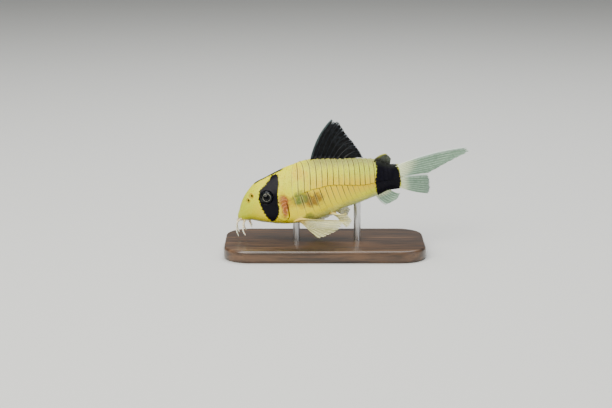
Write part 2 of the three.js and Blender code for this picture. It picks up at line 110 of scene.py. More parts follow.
def outlineDistance(s, z, outline):  # millimetres to a closed outline, negative inside it
    smoothing = 5
    ring = throughPoints(list(outline) + [outline[0]], np.linspace(0, 1, len(outline) * smoothing)[:-1])
    best = np.full(s.shape, np.inf)
    inside = np.zeros(s.shape, bool)
    for (ax, az), (bx, bz) in zip(ring, np.roll(ring, -1, 0)):
        dx, dz = bx - ax, bz - az
        along = np.clip(((s - ax) * dx + (z - az) * dz) / (dx * dx + dz * dz + 1e-12), 0, 1)
        best = np.minimum(best, np.hypot(s - ax - along * dx, z - az - along * dz))
        crosses = (az > z) != (bz > z)
        inside ^= crosses & (s < ax + (z - az) * dx / (bz - az if bz != az else 1e-9))
    return np.where(inside, -best, best)


def named(name):  # the object that was just made
    bpy.context.object.name = name
    return bpy.context.object


def editAll():  # into edit mode, with the whole mesh selected
    bpy.ops.object.mode_set(mode="EDIT")
    bpy.ops.mesh.select_all(action="SELECT")


def endEdit(sharp):  # out of edit mode; bends of more than this many degrees stay sharp
    bpy.ops.object.mode_set(mode="OBJECT")
    bpy.ops.object.shade_smooth_by_angle(angle=radians(sharp))


def addMark(mesh, word, values):  # a number kept at each point, for the finish to read
    layer = mesh.attributes.new(word, "FLOAT", "POINT")
    layer.data.foreach_set("value", np.ascontiguousarray(values, dtype=np.float32).ravel())


def drapeGrid(name, places, marks, sharp):
    # A grid primitive is laid over the given places. Its side edges and any ends drawn to one line are
    # then welded, so that the piece is closed.
    weld = 2e-7
    rows, across = places.shape[:2]
    bpy.ops.mesh.primitive_grid_add(x_subdivisions=across - 1, y_subdivisions=rows - 1, size=1)
    piece = named(name)
    piece.data.vertices.foreach_set("co", toScene(places).ravel())
    for word, values in marks.items():
        addMark(piece.data, word, values)
    editAll()
    bpy.ops.mesh.remove_doubles(threshold=weld)
    bpy.ops.mesh.normals_make_consistent(inside=False)
    endEdit(sharp)
    return piece


def settle(piece, finish, slot, *nodes):  # finish, slot (not used), the root body and the solids that it stands for
    piece.data.materials.clear()
    piece.data.materials.append(finish)
    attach(piece, "root")
    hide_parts(*nodes)


# camera, floor and light

view = {
    "target": Vector((-0.00429, 0.0, 0.01117)),
    "distance": 0.391,
    "elevation": radians(12),
    "lens": 100, "sensor": 36, "clip": (0.01, 20),
    "floorSize": 16.0, "floorColour": (0.56, 0.57, 0.56, 1), "floorRoughness": 0.7,
    "skyColour": (0.82, 0.83, 0.82, 1), "skyStrength": 0.26,
    "lampsAimAt": Vector((0.003, 0, 0.01)),
}
lamps = {  # place, width, strength, colour
    "softKey": ((-0.20, -0.32, 0.42), 0.46, 5.6, (1.0, 0.96, 0.88)),
    "fill": ((0.42, -0.30, 0.16), 0.40, 0.7, (0.92, 0.96, 1.0)),
    "topGlow": ((0.05, 0.12, 0.45), 0.40, 2.8, (1.0, 1.0, 1.0)),
}


def placeCamera():
    tilt = view["elevation"]
    away = Vector((0, -cos(tilt), sin(tilt))) * view["distance"]
    bpy.ops.object.camera_add(location=view["target"] + away, rotation=(pi / 2 - tilt, 0, 0))
    camera = bpy.context.object
    camera.data.lens = view["lens"]
    camera.data.sensor_width = view["sensor"]
    camera.data.clip_start, camera.data.clip_end = view["clip"]
    bpy.context.scene.camera = camera


def placeLamps():
    for word, (spot, width, strength, colour) in lamps.items():
        bpy.ops.object.light_add(type="AREA", location=spot)
        lamp = named(word)
        lamp.data.size = width
        lamp.data.energy = strength
        lamp.data.color = colour
        lamp.rotation_euler = (view["lampsAimAt"] - Vector(spot)).to_track_quat("-Z", "Y").to_euler()
    world = bpy.data.worlds.new("paleRoom")
    bpy.context.scene.world = world
    world.use_nodes = True
    sky = world.node_tree.nodes["Background"]
    sky.inputs["Color"].default_value = view["skyColour"]
    sky.inputs["Strength"].default_value = view["skyStrength"]


def placeFloor():
    bpy.ops.mesh.primitive_plane_add(size=view["floorSize"], location=(0, 0, 0))
    floor = named("floor")
    floor.data.materials.append(startFinish("paleFloor", {
        "Base Color": view["floorColour"], "Roughness": view["floorRoughness"]}))


# finishes: the helpers add nodes, and the value that a node gives out knows its own node tree

def startFinish(name, sockets):
    finish = bpy.data.materials.new(name)
    finish.use_nodes = True
    for socket, value in sockets.items():
        finish.node_tree.nodes["Principled BSDF"].inputs[socket].default_value = value
    return finish


def feed(socket, value):  # into the finish's own shader
    value.id_data.links.new(value, value.id_data.nodes["Principled BSDF"].inputs[socket])


def addNode(tree, kind, sockets, **settings):  # each socket gets a constant or another node's value
    node = tree.nodes.new("ShaderNode" + kind)
    for word, setting in settings.items():
        setattr(node, word, setting)
    for socket, value in sockets.items():
        if isinstance(value, bpy.types.NodeSocket):
            tree.links.new(value, node.inputs[socket])
        else:
            node.inputs[socket].default_value = value
    return node.outputs


def markValue(finish, word):  # a number kept on the mesh
    return addNode(finish.node_tree, "Attribute", {}, attribute_name=word)["Fac"]


def grain(finish, scale, detail, rough, stretch=(1, 1, 1)):  # noise in the object's own space
    place = addNode(finish.node_tree, "TexCoord", {})["Object"]
    place = addNode(finish.node_tree, "Mapping", {"Vector": place, "Scale": stretch})["Vector"]
    sockets = {"Vector": place, "Scale": scale, "Detail": detail, "Roughness": rough}
    return addNode(finish.node_tree, "TexNoise", sockets)["Fac"]


def ramp(value, low, high, outLow=0.0, outHigh=1.0):
    sockets = {"Value": value, "From Min": low, "From Max": high, "To Min": outLow, "To Max": outHigh}
    return addNode(value.id_data, "MapRange", sockets, interpolation_type="SMOOTHSTEP")["Result"]


def sums(kind, a, b=0):
    return addNode(a.id_data, "Math", {0: a, 1: b}, operation=kind)["Value"]


def times(first, *others):
    for other in others:
        first = sums("MULTIPLY", first, other)
    return first


def coat(under, colour, amount):  # one colour laid over what is under it
    under, colour = ((*tone, 1) if isinstance(tone, tuple) else tone for tone in (under, colour))
    return addNode(amount.id_data, "Mix", {6: under, 7: colour, 0: amount}, data_type="RGBA")[2]


def bumps(height, distance, strength):
    sockets = {"Height": height, "Distance": distance, "Strength": strength}
    feed("Normal", addNode(height.id_data, "Bump", sockets)["Normal"])


placeCamera()
placeLamps()
placeFloor()
print("camera, lamps and floor are in place")

# the body: head, gill covers, trunk and tail stem under one skin

body = {  # curves are by place along the fish
    "back": [(0, -3.85), (0.46, -2.5), (1.32, -0.5), (2.9, 1.67), (5, 3.42), (7.5, 4.47), (10, 5.36),
             (13.5, 6.42), (18.6, 7.2), (22, 6.85), (26.3, 6.2), (32, 5.2), (36.6, 3.25), (38.4, 2.95)],
    "belly": [(0, -3.9), (0.42, -4.4), (2.7, -4.85), (6, -5.7), (9.4, -6.5), (14, -6.75), (18.7, -6.6),
              (21.6, -5.75), (24.7, -5), (29.5, -4.1), (32.2, -3.45), (35.5, -2.7), (38.4, -2.65)],
    "halfWidth": [(0, 0), (0.46, 1.3), (1.32, 2.1), (2.9, 2.9), (5, 3.5), (7.3, 3.95), (10, 4.5),
                  (13, 4.8), (17, 4.6), (21.5, 3.85), (26, 2.9), (31, 2), (35, 1.35), (38.4, 0.85)],
    "widest": [(0, -3.88), (1.32, -3), (2.9, -2.4), (7.3, -2.2), (12, -3.8), (17, -3.5), (22, -2.6),
               (27, -1.8), (32, -0.9), (38.4, 0)],
    "pinch": [(0, 1), (6, 0.9), (12, 1.1), (20, 1.24), (38.4, 1.1)],  # over 1 narrows the back
    "rise": [(0, 1), (8, 1), (20, 1.11), (38.4, 1)],
    "fullness": [(0, 1), (3, 0.85), (9, 0.66), (22, 0.66), (38.4, 0.9)],  # under 1 flattens the belly
    "junction": [(0, 0.5), (14, 0.51), (18.6, 0.55), (21.6, 0.55), (25, 0.5), (31.5, 0.4), (38.4, 0.43)],
    "headEnd": 11.6,
    "firstPlate": 13.2,
    "lastRow": 38.2,
    "bellyCorner": radians(-50),
    "seed": 38,
}
headEnd, firstPlate = body["headEnd"], body["firstPlate"]
plate = {
    "count": 21,
    "frontPitch": 1.43,
    "rearPitch": 0.96,
    "pitchSpread": (0.97, 1.03),
    "step": 0.19,  # how far a plate's rear edge stands over the next one
    "stepSpread": (0.8, 1.2),
    "rowStep": 0.12,  # the upper row's lower edge stands over the lower row
    "climbPower": 1.3,
    "topStep": 0.6,  # share of the step that is left at the back
}
skinRow = {
    "head": 120,
    "headCrowding": 1.5,
    "slit": (-0.3, -0.2, -0.13, -0.08, -0.04, 0, 0.04, 0.08, 0.13, 0.2, 0.3),
    "slitMargin": 0.06,
    "collar": 9,
    "collarMargins": (0.1, 0.06),
    "plate": (0.02, 0.07, 0.16, 0.3, 0.45, 0.6, 0.75, 0.88, 0.95, 0.985),
}
skinColumn = {"row": 38, "under": 18, "upperCrowding": 1.25, "lowerCrowding": 1.2, "rowGap": 0.02}
lean = {  # how far a seam leads or trails on its way down
    "plateBow": 0.035, "plateTop": 0.02, "plateLower": 0.19, "plateUnder": 0.02,
    "headTop": 1.9, "headBow": 0.45, "headBowEnd": 0.7, "headFoot": 2, "headUnder": 0.3,
    "noseEnd": 2, "settledBy": 16.5, "tailStart": 33, "fade": (35.5, 38),
}
gillSlit = {"depth": 0.42, "width": 0.1, "upper": 0.14, "under": 0.55, "start": (0.02, 0.14)}
gillCover = {"middle": (11.6, -2.9), "half": (2.7, 2.9), "lift": 0.12, "edge": (0.96, 1.02),
             "groove": 0.07, "grooveAt": (1.05, 0.03),
             "arcs": ((0.72, 0.025), (0.47, 0.03)), "arcDepth": 0.05, "arcsFrom": (9, 9.8)}
eye = {"at": 7.4, "angle": radians(23), "radius": 1.65, "sink": 0.65, "dome": 0.75,
       "socketDepth": 0.95, "socket": (1.30, 1.56), "lid": 0.09, "lidAt": (1.72, 0.13),
       "lowest": radians(-40), "far": 9.0, "bulge": 0.10, "bulgeFade": (0.35, 1.1),
       "wrinkle": 0.015, "wrinkleCount": 14, "wrinkleAt": (2.3, 0.9), "wrinkleFade": (8.2, 9)}
nostril = {"places": ((3.05, 0.1, 0.3), (3.95, 1.05, 0.36)), "depth": 0.34, "pit": (0.5, 0.95),
           "rim": 0.13, "flap": 0.07, "rimAt": (1.25, 0.24), "darkPit": (0.6, 1.0), "paleRim": (1.25, 0.4)}
mouth = {"rear": 2.3, "front": 1.02, "halfWidth": 1.2, "fade": 0.7,
         "outerLip": (0.26, 1.3, 0.2), "innerLip": (0.2, 0.66, 0.17), "gape": (0.34, 1.0, 0.09),
         "paleLips": ((1.3, 0.25), (0.66, 0.2)), "darkLine": (1.0, 0.1)}
skull = {"groove": 0.05, "grooveWidth": 0.14, "grooveStart": (5.0, 6.0), "grooveEnd": (9, 10),
         "swells": 6, "swell": 0.012}
tailRootCaps = ((0.93, 0.06), (0.6, 0.12), (0.25, 0.14), (0, 0.15))  # size and place behind the last row

curveOf = {word: smoothCurve(knots) for word, knots in body.items() if isinstance(knots, list)}
back, belly = curveOf["back"], curveOf["belly"]


def sectionPoint(s, angle):  # across and up, a right angle at the back and minus one at the belly
    across = np.maximum(0, np.cos(angle))
    up = np.abs(np.sin(angle))
    level, full = curveOf["widest"](s), curveOf["fullness"](s)
    above = angle >= 0
    y = curveOf["halfWidth"](s) * np.where(above, across ** curveOf["pinch"](s), across ** full)
    z = level + np.where(above, (back(s) - level) * up ** curveOf["rise"](s), (belly(s) - level) * up ** full)
    return y, z


def junctionAngle(s):  # where the two rows of plates meet
    level = belly(s) + curveOf["junction"](s) * (back(s) - belly(s))
    share = (level - curveOf["widest"](s)) / (back(s) - curveOf["widest"](s))
    return np.arcsin(np.maximum(0.02, share) ** (1 / curveOf["rise"](s)))


def skinPoint(s, angle, side, raised=0.0):  # a point on the smooth skin, or off it
    y, z = sectionPoint(s, angle)
    yUp, zUp = sectionPoint(s, angle + 0.03)
    yDown, zDown = sectionPoint(s, angle - 0.03)
    out = unit(np.array((zUp - zDown, yDown - yUp), float))
    return np.array((s, side * (y + out[0] * raised) + swing(s), z + out[1] * raised))


def plateList(rng):  # start, length and step of each plate
    plates, start = [], firstPlate
    for i in range(plate["count"]):
        share = i / (plate["count"] - 1)
        pitch = plate["frontPitch"] * (1 - share) + plate["rearPitch"] * share
        pitch *= rng.uniform(*plate["pitchSpread"])
        plates.append((start, pitch, plate["step"] * rng.uniform(*plate["stepSpread"])))
        start += pitch
    return plates


def skinRows(plates):  # place, share of the plate passed, its length and its step
    offPlate = (0.5, 9, 0)
    slit = headEnd + np.array(skinRow["slit"])
    head = (slit[0] - skinRow["slitMargin"]) * np.linspace(0, 1, skinRow["head"]) ** skinRow["headCrowding"]
    after, before = skinRow["collarMargins"]
    collar = np.linspace(slit[-1] + after, firstPlate - before, skinRow["collar"])
    rows = [(place, *offPlate) for place in (*head, *slit, *collar)]
    for start, pitch, step in plates:
        rows += [(start + pitch * x, x, pitch, step) for x in skinRow["plate"]]
    end = min(rows[-1][0], body["lastRow"])
    return (np.array(v, float)[:, None] for v in zip(*(row for row in rows if row[0] <= end)))


def skinColumns():  # down the left side from the back to the belly, and up the right side
    down = np.linspace(0, 1, skinColumn["row"])
    half = [("upper", x) for x in 1 - (1 - down) ** skinColumn["upperCrowding"]]
    half += [("lower", x) for x in down ** skinColumn["lowerCrowding"]]
    half += [("under", x) for x in np.linspace(0, 1, skinColumn["under"])[1:]]
    kind, share = (np.array(v)[None] for v in zip(*(half + half[-2::-1])))
    side = np.where(np.arange(kind.shape[1]) < len(half), -1.0, 1.0)[None]
    return kind == "upper", kind == "lower", share.astype(float), side, len(half) - 1


def byKind(g, upper, lower, under):  # the upper row, the lower row and the flat belly
    return np.where(g.upper, upper, np.where(g.lower, lower, under))


def seamShift(g):  # how far along the fish each column's seam lies from where it starts
    at, share, lift = g.at, g.share, 1 - g.share
    plateSeam = byKind(g, lean["plateBow"] * np.sin(np.pi * lift) - lean["plateTop"] * lift ** 3,
                       lean["plateLower"] * share, lean["plateLower"] + lean["plateUnder"] * share)
    plateSeam = (back(at) - belly(at)) * (1 - ease(at, lean["tailStart"], pose["length"])) * plateSeam
    headBow = lean["headBow"] * np.sin(np.pi * np.minimum(1, share / lean["headBowEnd"]))
    headSeam = byKind(g, lean["headTop"] * lift ** 2, headBow - lean["headFoot"] * share ** 3,
                      -lean["headFoot"] - lean["headUnder"] * share)
    headSeam = headSeam * np.where(at < headEnd, ease(at, lean["noseEnd"], headEnd), 1)
    settled = ease(at, headEnd, lean["settledBy"])
    halfPitch = 0.5 * (plate["frontPitch"] + (plate["rearPitch"] - plate["frontPitch"])
                       * ease(at, firstPlate, pose["length"]))
    halfPitch = halfPitch * settled * (1 - ease(at, *lean["fade"]))  # the lower row starts half a plate on
    return headSeam * (1 - settled) + plateSeam * settled + np.where(g.upper, 0, halfPitch)


def layoutSkin(rng):  # the smooth skin, before anything stands up from it
    g = SimpleNamespace()
    g.at, g.passed, g.pitch, g.step = skinRows(plateList(rng))
    g.upper, g.lower, g.share, g.side, bellyColumn = skinColumns()
    g.s = np.maximum(0, g.at + seamShift(g))
    meet, corner, gap = junctionAngle(g.s), body["bellyCorner"], skinColumn["rowGap"]
    g.angle = byKind(g, pi / 2 + (meet - pi / 2) * g.share, meet - gap + (corner - meet + gap) * g.share,
                     corner + (-pi / 2 - corner) * g.share)
    y, g.z = sectionPoint(g.s, g.angle)
    y[:, (0, bellyColumn, -1)] = 0
    g.across = g.side * y
    g.base = np.stack((g.s, g.across + swing(g.s), g.z), -1)
    g.base[0] = g.base[0].mean(0)
    around = np.concatenate([g.base[:, -2:-1], g.base, g.base[:, 1:2]], 1)
    out = unit(np.cross(np.gradient(g.base, axis=0), around[:, 2:] - around[:, :-2]), 1e-12)
    out *= np.sign((out[..., 1] * g.side).mean() + 1e-9)
    out[0] = (-1, 0, 0)
    g.out = out
    return g


def armourHeight(g):  # each plate climbs towards its rear edge, and the upper row over the lower
    armour = ease(g.at, headEnd, firstPlate + 1) * (1 - ease(g.at, *lean["fade"]))
    climb = g.step * g.passed ** plate["climbPower"] * (g.at > firstPlate - 0.01)
    top = plate["topStep"]
    return armour * byKind(g, climb * (top + (1 - top) * g.share) + plate["rowStep"] * g.share ** 3,
                           climb * (1 - g.share ** 3), 0)


def slitAmount(g):  # the gill opening, full beside the gill cover and fading over the nape and under the head
    weight = byKind(g, gillSlit["upper"] * (0.5 + 0.5 * g.share), 1.0, gillSlit["under"] * (1 - g.share))
    weight = weight * ease(g.share + ~g.lower, *gillSlit["start"])
    return bell(g.at, headEnd, gillSlit["width"]) * weight


def gillCoverHeight(g, ring):  # the ring is 1 at the gill cover's edge
    grooves = gillCover["groove"] * bell(ring, *gillCover["grooveAt"])
    arcs = sum(bell(ring, *arc) for arc in gillCover["arcs"]) * ease(g.s, *gillCover["arcsFrom"])
    height = gillCover["lift"] * (1 - ease(ring, *gillCover["edge"])) - grooves - gillCover["arcDepth"] * arcs
    return height * (g.at < headEnd)


def findEyes(g):  # middle and axis of each eye by side, and each point's distance from its axis
    spots, fromEye = {}, np.full(g.s.shape, eye["far"])
    for turn in sides.values():
        middle = skinPoint(eye["at"], eye["angle"], turn, -eye["sink"])
        axis = unit(skinPoint(eye["at"], eye["angle"], turn, 1) - middle)
        off = g.base - middle
        flat = off - (off @ axis)[..., None] * axis
        fromEye = np.where(g.side == turn, np.linalg.norm(flat, axis=-1), fromEye)
        spots[turn] = (middle, axis)
    return spots, np.where(g.angle > eye["lowest"], fromEye, eye["far"])


def eyeHeight(g, fromEye):  # a socket, a lid round it and faint wrinkles
    wrinkle = np.sin(fromEye * eye["wrinkleCount"]) * bell(fromEye, *eye["wrinkleAt"])
    socket = eye["socketDepth"] * (1 - ease(fromEye, *eye["socket"]))
    wrinkle = wrinkle * (1 - ease(g.s, *eye["wrinkleFade"]))
    return eye["lid"] * bell(fromEye, *eye["lidAt"]) - socket + eye["wrinkle"] * wrinkle


def nostrilHeight(g):  # height, pit and rim
    height, pit, rim = np.zeros(g.s.shape), np.zeros(g.s.shape), np.zeros(g.s.shape)
    for place, level, radius in nostril["places"]:
        r = np.hypot(g.s - place, g.z - level) / radius
        flap = nostril["rim"] + nostril["flap"] * np.clip((g.s - place) / radius, -1, 1)
        height += flap * bell(r, *nostril["rimAt"]) - nostril["depth"] * (1 - ease(r, *nostril["pit"]))
        pit = np.maximum(pit, 1 - ease(r, *nostril["darkPit"]))
        rim = np.maximum(rim, bell(r, *nostril["paleRim"]))
    return height, pit, rim


def mouthHeight(g):  # height, lips and the line between them
    bow = np.hypot((mouth["rear"] - g.s) / (mouth["rear"] - mouth["front"]), g.across / mouth["halfWidth"])
    below = ease(-g.angle, radians(20), radians(50))
    below = below * (1 - ease(g.s, mouth["rear"], mouth["rear"] + mouth["fade"]))
    outer, inner, gape = (size * bell(bow, middle, spread) for size, middle, spread in
                          (mouth["outerLip"], mouth["innerLip"], mouth["gape"]))
    lips = below * sum(bell(bow, *lip) for lip in mouth["paleLips"])
    return below * (outer + inner - gape), lips, below * bell(bow, *mouth["darkLine"])


def skullHeight(g, rng):  # the groove of the skull, and swells, because a living surface is never quite even
    crown = ease(g.angle, radians(55), radians(85))
    stretch = ease(g.s, *skull["grooveStart"]) * (1 - ease(g.s, *skull["grooveEnd"]))
    height = -skull["groove"] * bell(g.across, 0, skull["grooveWidth"]) * stretch * crown
    for a, b, c in rng.normal(size=(skull["swells"], 3)):
        wave = g.s * (0.7 + 0.5 * abs(a)) + g.angle * (2 + abs(b)) * g.side + c * 5
        height = height + skull["swell"] * np.sin(wave)
    return height


# markings

cheek = [(10.05, 1.1), (9.95, -0.65), (9.9, -2.45), (9.25, -4.45), (8.15, -5.25), (7.3, -4.8),
         (6.3, -3.15), (5.75, -1.35)]
mask = {  # outlines on the side of the head, x and z
    "left": [(10.55, 4.85), (10.65, 4.05), (10.45, 2.75), *cheek, (5.55, 0.45), (6.1, 2.15), (7.3, 3.05),
             (8.3, 4.05), (9.05, 4.85), (9.8, 5.25)],
    "right": [(12.4, 6.9), (11.3, 5.1), (10.5, 4.05), (10.4, 2.75), *cheek, (5.45, 0.45), (5.2, 1.8),
              (4.9, 3.2), (5.4, 4.6), (7.0, 5.7), (9.4, 6.6)],
    "leftStart": 1.0,  # the left one stays this far off the middle of the head
    "overTop": -0.75,  # and the right one reaches a little over it
}
band = {  # the band's edges before the tail fin, z and x
    "front": [(-4, 32.6), (-1.67, 32.3), (0.33, 32.35), (2.6, 33.05), (5.2, 33.1)],
    "rear": [(-3, 37.7), (-1.9, 37.95), (-0.7, 38.2), (0.7, 38.25), (2.1, 38.0), (3.4, 37.6)],
}
patches = {  # middle and half size, x and z, colour and strength of each soft patch, on both sides
    "napeGlow": ((15.2, 4.4), (3.0, 2.4), "amber", 0.5),
    "rose": ((11.2, -2.1), (1.9, 3.1), "gillRose", 0.95),
    "roseBehind": ((15.3, -1.3), (5.0, 3.0), "gillRose", 0.42),
    "umber": ((18.0, -1.6), (2.9, 2.1), "umber", 0.85),
    "sheen": ((14.8, -0.6), (2.1, 2.6), "gillSheen", 0.9),
    "lowSheen": ((16.6, -4.8), (1.4, 1.0), "gillSheen", 0.6),
}
patchReach = 1.3
edgeReach = 3


def markingMarks(g):
    onLeft = np.maximum(outlineDistance(g.s, g.z, mask["left"]), g.across + mask["leftStart"])
    onRight = np.maximum(outlineDistance(g.s, g.z, mask["right"]), mask["overTop"] - g.across)
    bandFront, bandRear = (np.interp(g.z, *zip(*band[edge])) for edge in ("front", "rear"))
    marks = {
        "maskEdge": np.clip(np.minimum(onLeft, onRight), -edgeReach, edgeReach),
        "bandEdge": np.clip(np.maximum(bandFront - g.s, g.s - bandRear), -edgeReach, edgeReach),
    }
    for word, ((middle, level), (long, high), *_) in patches.items():
        away = np.hypot((g.s - middle) / long, (g.z - level) / high)
        marks[word] = np.clip(patchReach - away, 0, patchReach)
    return marks


def seamMark(g):  # millimetres to the nearest seam between plates
    onPlates = (g.at > firstPlate - 0.05) & (g.upper | g.lower)
    seam = np.where(onPlates, np.minimum(g.passed, 1 - g.passed) * g.pitch, 1.0)
    return np.where(g.lower, seam + 0.5 * ease(g.share, 0.75, 1), seam)


def sculptSkin():
    rng = np.random.default_rng(body["seed"])
    g = layoutSkin(rng)
    slit = slitAmount(g)
    ring = np.hypot(*((v - middle) / half for v, middle, half in
                      zip((g.s, g.z), gillCover["middle"], gillCover["half"])))
    eyes, fromEye = findEyes(g)
    nose, pit, rim = nostrilHeight(g)
    lipsUp, lips, mouthLine = mouthHeight(g)
    high = (armourHeight(g) - gillSlit["depth"] * slit + gillCoverHeight(g, ring) + eyeHeight(g, fromEye)
            + nose + lipsUp + skullHeight(g, rng))
    points = g.base + g.out * high[..., None]
    points[:, 0] = points[:, -1] = (points[:, 0] + points[:, -1]) / 2  # the sides meet along the back
    points[0] = points[0].mean(0)  # and the snout starts from one point

    # the tail root is drawn shut inside the tail fin
    centre = points[-1].mean(0)
    caps = [centre + (points[-1] - centre) * size + (behind, 0, 0) for size, behind in tailRootCaps]
    points = np.concatenate([points, np.array(caps)])

    marks = {
        "alongFish": g.s / 40,
        "heightShare": (g.z - belly(g.s)) / np.maximum(0.1, back(g.s) - belly(g.s)),
        "seam": seamMark(g),
        "belowJunction": np.where(g.upper, 0.0, 1.0),
        "rearLow": np.where(g.upper, 0, ease(g.s, 25, 31)),
        "junctionNear": byKind(g, 1 - g.share, g.share, 1),
        "underside": ease(-g.angle, radians(35), radians(75)),
        "slit": np.clip(slit, 0, 1),
        "gillRing": np.where(g.at < headEnd + 0.2, ring, edgeReach),
        "nearEye": np.clip(fromEye, 0, eye["far"]),
        "lips": lips,
        "mouthLine": mouthLine,
        "nostrilPit": pit,
        "nostrilRim": rim,
        **markingMarks(g),
    }
    for word, values in marks.items():  # the caps take the last row's numbers
        values = np.broadcast_to(values, g.s.shape)
        marks[word] = np.concatenate([values, np.repeat(values[-1:], len(caps), 0)])
    return points, marks, eyes


skinColours = {
    "lemon": (0.68, 0.68, 0.0005), "gold": (0.72, 0.60, 0.0005), "rearLemon": (0.53, 0.60, 0.05),
    "backCream": (0.23, 0.25, 0.085), "belly": (0.58, 0.66, 0.32), "snout": (0.43, 0.49, 0.012),
    "amber": (0.74, 0.43, 0.0), "gillRose": (0.27, 0.065, 0.025), "gillSheen": (0.08, 0.14, 0.038),
    "gillArc": (0.68, 0.30, 0.14), "umber": (0.17, 0.09, 0.018), "freckle": (0.42, 0.36, 0.05),
    "platelet": (0.86, 0.80, 0.28), "pepper": (0.13, 0.11, 0.03), "seam": (0.07, 0.05, 0.01),
    "nostril": (0.40, 0.19, 0.025), "lips": (0.62, 0.44, 0.24), "mouthLine": (0.16, 0.05, 0.035),
    "slit": (0.09, 0.025, 0.018), "black": (0.0023, 0.0021, 0.0055), "slate": (0.012, 0.014, 0.012),
}
skinSockets = {
    "Roughness": 0.36, "IOR": 1.36, "Coat Weight": 0.05, "Coat Roughness": 0.12, "Specular IOR Level": 0.15,
    "Subsurface Weight": 0.08, "Subsurface Radius": (1.0, 0.5, 0.06), "Subsurface Scale": 0.0005,
}
skinNoises = {"cloud": (420, 3, 0.55), "fine": (2600, 4, 0.62), "specks": (5200, 2, 0.5)}

# Each layer of colour has the things whose product says how much of it lies there. Each of these is a
# mark or a noise, with the two values between which it turns from the least to the most.
groundLayers = [
    ("gold", ("heightShare", 0.62, 0.3, 0, 1), ("alongFish", 0.88, 0.6, 0.15, 1)),
    ("gold", ("cloud", 0.42, 0.66, 0, 0.55), ("alongFish", 0.62, 0.4, 0, 1)),
    ("rearLemon", ("alongFish", 0.5, 0.82, 0, 0.9), ("heightShare", 0.3, 0.6, 0.45, 1)),
    ("backCream", ("heightShare", 0.78, 0.97, 0, 0.85), ("alongFish", 0.36, 0.52, 0, 1)),
    ("snout", ("alongFish", 0.175, 0.03, 0, 0.85)),
    ("amber", ("junctionNear", 0.36, 0.03, 0, 0.62), ("alongFish", 0.34, 0.5, 0, 1)),
    # painted shade: umber darkens the lower edge of the head
    ("umber", ("heightShare", 0.16, 0.02, 0, 0.5), ("alongFish", 0.34, 0.25, 0, 1)),
    ("belly", ("underside", 0.0, 0.6, 0, 0.85)),
    ("belly", ("heightShare", 0.2, 0.04, 0, 0.6), ("alongFish", 0.3, 0.38, 0, 1)),
]
patchEdge = {"cloud": (0.3, 0.7, -0.28, 0.28), "fade": (0.38, 0.95)}
fineLayers = [
    ("gillArc", ("arcs", 0.55, 1.0, 0, 0.55), ("rose", 0.3, 0.9, 0, 1)),
    ("freckle", ("fine", 0.56, 0.7, 0, 0.34)),
    ("platelet", ("specks", 0.58, 0.70, 0, 0.26)),
    ("pepper", ("specks", 0.43, 0.36, 0, 0.5), ("heightShare", 0.45, 0.8, 0.15, 1)),
    # painted highlight: a pale line beside each seam between the plates, where a plate's edge catches the
    # light
    ("platelet", ("seam", 0.30, 0.17, 0, 0.22), "seamFade"),
    ("seam", ("seam", 0.18, 0.05, 0, 0.95), "brokenSeam"),
    ("nostril", ("nostrilRim", 0.2, 0.8, 0, 0.75)),
    # painted shade: the nostril pits are coloured near black
    ("black", ("nostrilPit", 0.35, 0.8, 0, 0.9)),
    ("lips", ("lips", 0.3, 0.9, 0, 0.85)),
    # painted shade: a dark line along the gape between the lips
    ("mouthLine", ("mouthLine", 0.4, 0.9, 0, 0.9)),
]
lastLayers = [
    # painted shade: the gill opening is coloured dark red-brown
    ("slit", ("slit", 0.25, 0.8, 0, 0.9)),
    ("black", ("nearEye", 1.75, 1.5, 0, 0.92)),
]
blackEdge = {"noise": (0.25, 0.75, -0.22, 0.22), "mask": (0.16, -0.14), "band": (0.14, -0.12),
             "slateTop": (0.80, 0.98)}
skinRelief = {"fine": 0.8, "specks": 0.5, "distance": 0.00005, "strength": 0.45}
skinShine = {"fine": (0.3, 0.7, 0.26, 0.42), "onBlack": 0.12}


def skinFinish():
    finish = startFinish("wetArmourSkin", skinSockets)
    source = {word: grain(finish, *numbers) for word, numbers in skinNoises.items()}

    def value(word):
        return source[word] if word in source else markValue(finish, word)

    def between(word, *numbers):
        return ramp(value(word), *numbers)

    def layUp(tone, layers):
        for colour, *parts in layers:
            amounts = [value(part) if isinstance(part, str) else between(*part) for part in parts]
            tone = coat(tone, skinColours[colour], times(*amounts))
        return tone

    source["arcs"] = sums("SINE", times(value("gillRing"), 24.0))
    offBelly = sums("MAXIMUM", between("heightShare", 0.12, 0.40), between("belowJunction", 0.9, 0.1))
    source["seamFade"] = times(offBelly, between("rearLow", 0.9, 0.1, 0.35, 1))
    source["brokenSeam"] = times(source["seamFade"], between("cloud", 0.3, 0.6, 0.45, 1))

    tone = layUp(skinColours["lemon"], groundLayers)
    uneven = between("cloud", *patchEdge["cloud"])
    for word, (*_, colour, strength) in patches.items():
        amount = ramp(sums("ADD", value(word), uneven), *patchEdge["fade"], 0, strength)
        tone = coat(tone, skinColours[colour], amount)
    tone = layUp(tone, fineLayers)

    ragged = between("fine", *blackEdge["noise"])
    onMask, onBand = (ramp(sums("ADD", value(f"{word}Edge"), ragged), *blackEdge[word], 0, 1)
                      for word in ("mask", "band"))
    black = skinColours["black"]
    bandTone = coat(black, skinColours["slate"], between("heightShare", *blackEdge["slateTop"]))
    tone = coat(coat(tone, black, onMask), bandTone, onBand)
    feed("Base Color", layUp(tone, lastLayers))

    onBlack = times(sums("MAXIMUM", onMask, onBand), skinShine["onBlack"])
    feed("Roughness", sums("ADD", between("fine", *skinShine["fine"]), onBlack))
    fine, specks = (times(source[word], skinRelief[word]) for word in ("fine", "specks"))
    bumps(sums("ADD", fine, specks), skinRelief["distance"], skinRelief["strength"])
    return finish


points, marks, eyes = sculptSkin()
skin = drapeGrid("fishSkin", points, marks, 38)
settle(skin, skinFinish(), "armour_skin", "head", "gill_cover_left", "gill_cover_right", "trunk", "tail_stem")
print("the skin is laid over the body,", len(skin.data.polygons), "faces")

# eyes

